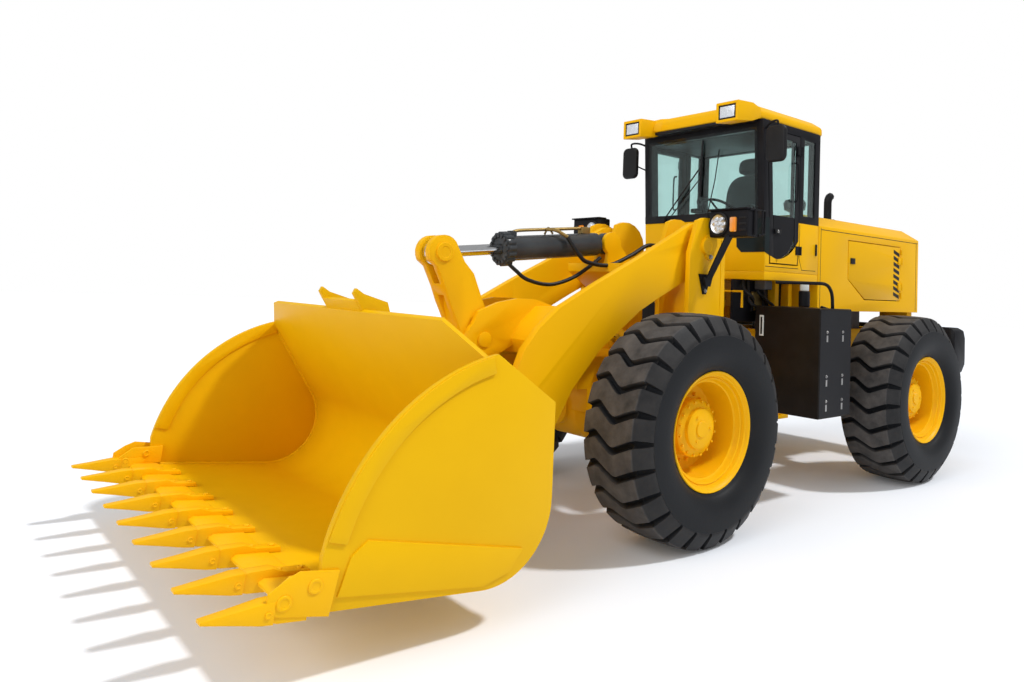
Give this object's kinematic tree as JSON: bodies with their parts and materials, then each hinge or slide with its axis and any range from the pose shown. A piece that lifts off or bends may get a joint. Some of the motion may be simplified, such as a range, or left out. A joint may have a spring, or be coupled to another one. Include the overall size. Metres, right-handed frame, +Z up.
{
  "type": "articulated wheel loader",
  "caption": "Articulated four-wheel loader with a toothed bucket on a Z-bar linkage, a glazed cab and a rear engine hood.",
  "frame": {"origin": "bottom centre of the whole machine's box, on the ground", "axes": "+X forward to the bucket, +Y to the machine's left, +Z up"},
  "size_m": [8.14, 3.08, 3.45],
  "materials": {
    "yellow": "semi-gloss",
    "black_paint": "satin",
    "black_plastic": "matte",
    "rubber": "matte",
    "chrome": "polished",
    "steel": "machined",
    "cast_iron": "rough",
    "seat_cloth": "cloth"
  },
  "bodies": {
    "rear_frame": {"rear_frame": "yellow", "rear_axle": "yellow", "engine": "cast_iron", "counterweight": "black_paint", "hood": "yellow", "exhaust": "black_paint", "tank_left": "black_paint", "tank_right": "black_paint", "cab_frame": "yellow", "cab_platform": "yellow", "cab_roof": "yellow", "seat": "seat_cloth", "steering_column": "black_plastic", "mirror_left": "black_paint", "mirror_right": "black_paint"},
    "front_frame": {"front_frame": "yellow", "front_axle": "yellow", "headlamp_left": "black_paint", "headlamp_right": "black_paint"},
    "boom": {"boom": "yellow"},
    "bucket_pins": {"bucket_pin_left": "steel", "bucket_pin_right": "steel"},
    "bucket": {"bucket": "yellow", "bucket_teeth": "black_paint"},
    "rocker_pin": {"rocker_pin": "steel"},
    "rocker": {"rocker": "yellow"},
    "link_pin": {"link_pin": "steel"},
    "link": {"link": "yellow"},
    "tilt_barrel": {"tilt_barrel": "yellow"},
    "tilt_rod": {"tilt_rod": "chrome"},
    "wheel_front_left": {"tyre_front_left": "rubber", "rim_front_left": "yellow"},
    "wheel_front_right": {"tyre_front_right": "rubber", "rim_front_right": "yellow"},
    "wheel_rear_left": {"tyre_rear_left": "rubber", "rim_rear_left": "yellow"},
    "wheel_rear_right": {"tyre_rear_right": "rubber", "rim_rear_right": "yellow"},
    "lift_barrel_left": {"lift_barrel_left": "yellow"},
    "lift_rod_left": {"lift_rod_left": "chrome"},
    "steer_barrel_left": {"steer_barrel_left": "yellow"},
    "steer_rod_left": {"steer_rod_left": "chrome"},
    "cab_door_left": {"cab_door_left": "yellow"},
    "engine_door_left": {"engine_door_left": "yellow"},
    "lift_barrel_right": {"lift_barrel_right": "yellow"},
    "lift_rod_right": {"lift_rod_right": "chrome"},
    "steer_barrel_right": {"steer_barrel_right": "yellow"},
    "steer_rod_right": {"steer_rod_right": "chrome"},
    "cab_door_right": {"cab_door_right": "yellow"},
    "engine_door_right": {"engine_door_right": "yellow"}
  },
  "joints": [
    {"name": "articulation", "type": "hinge", "parent": "rear_frame", "child": "front_frame", "pos_m": [-0.85, 0, 0.9], "axis": [0, 0, 1], "range_deg": [-35, 35]},
    {"name": "wheel_front_left", "type": "hinge", "parent": "front_frame", "child": "wheel_front_left", "pos_m": [0.78, 1.125, 0.8], "axis": [0, 1, 0], "continuous": true},
    {"name": "wheel_front_right", "type": "hinge", "parent": "front_frame", "child": "wheel_front_right", "pos_m": [0.78, -1.125, 0.8], "axis": [0, 1, 0], "continuous": true},
    {"name": "wheel_rear_left", "type": "hinge", "parent": "rear_frame", "child": "wheel_rear_left", "pos_m": [-2.48, 1.125, 0.8], "axis": [0, 1, 0], "continuous": true},
    {"name": "wheel_rear_right", "type": "hinge", "parent": "rear_frame", "child": "wheel_rear_right", "pos_m": [-2.48, -1.125, 0.8], "axis": [0, 1, 0], "continuous": true},
    {"name": "boom", "type": "hinge", "parent": "front_frame", "child": "boom", "pos_m": [0.05, 0, 2.13], "axis": [0, -1, 0], "range_deg": [-6, 80]},
    {"name": "bucket_level", "type": "hinge", "parent": "boom", "child": "bucket_pins", "pos_m": [2.25, 0, 0.45], "axis": [0, -1, 0], "range_deg": [-80.17, 6.17]},
    {"name": "bucket", "type": "hinge", "parent": "bucket_pins", "child": "bucket", "pos_m": [2.25, 0, 0.45], "axis": [0, -1, 0], "range_deg": [-45, 25]},
    {"name": "rocker_level", "type": "hinge", "parent": "boom", "child": "rocker_pin", "pos_m": [1.88, 0, 1.355], "axis": [0, -1, 0], "range_deg": [-2.74, 35.6]},
    {"name": "rocker", "type": "hinge", "parent": "rocker_pin", "child": "rocker", "pos_m": [1.88, 0, 1.355], "axis": [0, -1, 0], "range_deg": [-8.45, 15.17]},
    {"name": "link_level", "type": "hinge", "parent": "rocker", "child": "link_pin", "pos_m": [1.7, 0, 0.84], "axis": [0, -1, 0], "range_deg": [-56.52, 4.35]},
    {"name": "link", "type": "hinge", "parent": "link_pin", "child": "link", "pos_m": [1.7, 0, 0.84], "axis": [0, -1, 0], "range_deg": [-24.01, 13.37]},
    {"name": "tilt_barrel", "type": "hinge", "parent": "front_frame", "child": "tilt_barrel", "pos_m": [0.57, 0, 2.13], "axis": [0, -1, 0], "range_deg": [-7.94, 103.1]},
    {"name": "tilt_rod", "type": "slide", "parent": "tilt_barrel", "child": "tilt_rod", "axis": [0.9946, 0, -0.1037], "range_m": [-0.19703, 0.10951]},
    {"name": "lift_barrel_left", "type": "hinge", "parent": "front_frame", "child": "lift_barrel_left", "pos_m": [-0.4, 0.42, 0.92], "axis": [0, -1, 0], "range_deg": [-2.99, 38.8]},
    {"name": "lift_rod_left", "type": "slide", "parent": "lift_barrel_left", "child": "lift_rod_left", "axis": [0.9389, 0, 0.3443], "range_m": [-0.06869, 0.91465]},
    {"name": "steer_barrel_left", "type": "hinge", "parent": "rear_frame", "child": "steer_barrel_left", "pos_m": [-1.47, 0.36, 0.66], "axis": [0, 0, 1], "range_deg": [-15.46, 15.46]},
    {"name": "steer_rod_left", "type": "slide", "parent": "steer_barrel_left", "child": "steer_rod_left", "axis": [0.9993, 0.037, 0], "range_m": [-0.2304, 0.2304]},
    {"name": "cab_door_left", "type": "hinge", "parent": "rear_frame", "child": "cab_door_left", "pos_m": [-1.223, 0.7333, 2.6], "axis": [0, 0, 1], "range_deg": [0, 80]},
    {"name": "engine_door_left", "type": "hinge", "parent": "rear_frame", "child": "engine_door_left", "pos_m": [-3.283, 0.7133, 2], "axis": [0, 0, 1], "range_deg": [0, 75]},
    {"name": "lift_barrel_right", "type": "hinge", "parent": "front_frame", "child": "lift_barrel_right", "pos_m": [-0.4, -0.42, 0.92], "axis": [0, -1, 0], "range_deg": [-2.99, 38.8]},
    {"name": "lift_rod_right", "type": "slide", "parent": "lift_barrel_right", "child": "lift_rod_right", "axis": [0.9389, 0, 0.3443], "range_m": [-0.06869, 0.91465]},
    {"name": "steer_barrel_right", "type": "hinge", "parent": "rear_frame", "child": "steer_barrel_right", "pos_m": [-1.47, -0.36, 0.66], "axis": [0, 0, 1], "range_deg": [-15.46, 15.46]},
    {"name": "steer_rod_right", "type": "slide", "parent": "steer_barrel_right", "child": "steer_rod_right", "axis": [0.9993, -0.037, 0], "range_m": [-0.2304, 0.2304]},
    {"name": "cab_door_right", "type": "hinge", "parent": "rear_frame", "child": "cab_door_right", "pos_m": [-1.223, -0.7333, 2.6], "axis": [0, 0, -1], "range_deg": [0, 80]},
    {"name": "engine_door_right", "type": "hinge", "parent": "rear_frame", "child": "engine_door_right", "pos_m": [-3.283, -0.7133, 2], "axis": [0, 0, -1], "range_deg": [0, 75]}
  ],
  "couplings": [
    {"joint": "bucket_level", "follows": "boom", "ratio": -1},
    {"joint": "rocker_level", "follows": "boom", "ratio": 0.444},
    {"joint": "rocker", "follows": "bucket", "ratio": -0.336},
    {"joint": "link_level", "follows": "boom", "ratio": -0.705},
    {"joint": "link", "follows": "bucket", "ratio": 0.532},
    {"joint": "tilt_barrel", "follows": "boom", "ratio": 1.286},
    {"joint": "tilt_rod", "follows": "bucket", "m_per_rad": 0.2507},
    {"joint": "lift_barrel_left", "follows": "boom", "ratio": 0.484},
    {"joint": "lift_rod_left", "follows": "boom", "m_per_rad": 0.655},
    {"joint": "steer_barrel_left", "follows": "articulation", "ratio": 0.44},
    {"joint": "steer_rod_left", "follows": "articulation", "m_per_rad": -0.377},
    {"joint": "lift_barrel_right", "follows": "boom", "ratio": 0.484},
    {"joint": "lift_rod_right", "follows": "boom", "m_per_rad": 0.655},
    {"joint": "steer_barrel_right", "follows": "articulation", "ratio": 0.44},
    {"joint": "steer_rod_right", "follows": "articulation", "m_per_rad": 0.377}
  ]
}
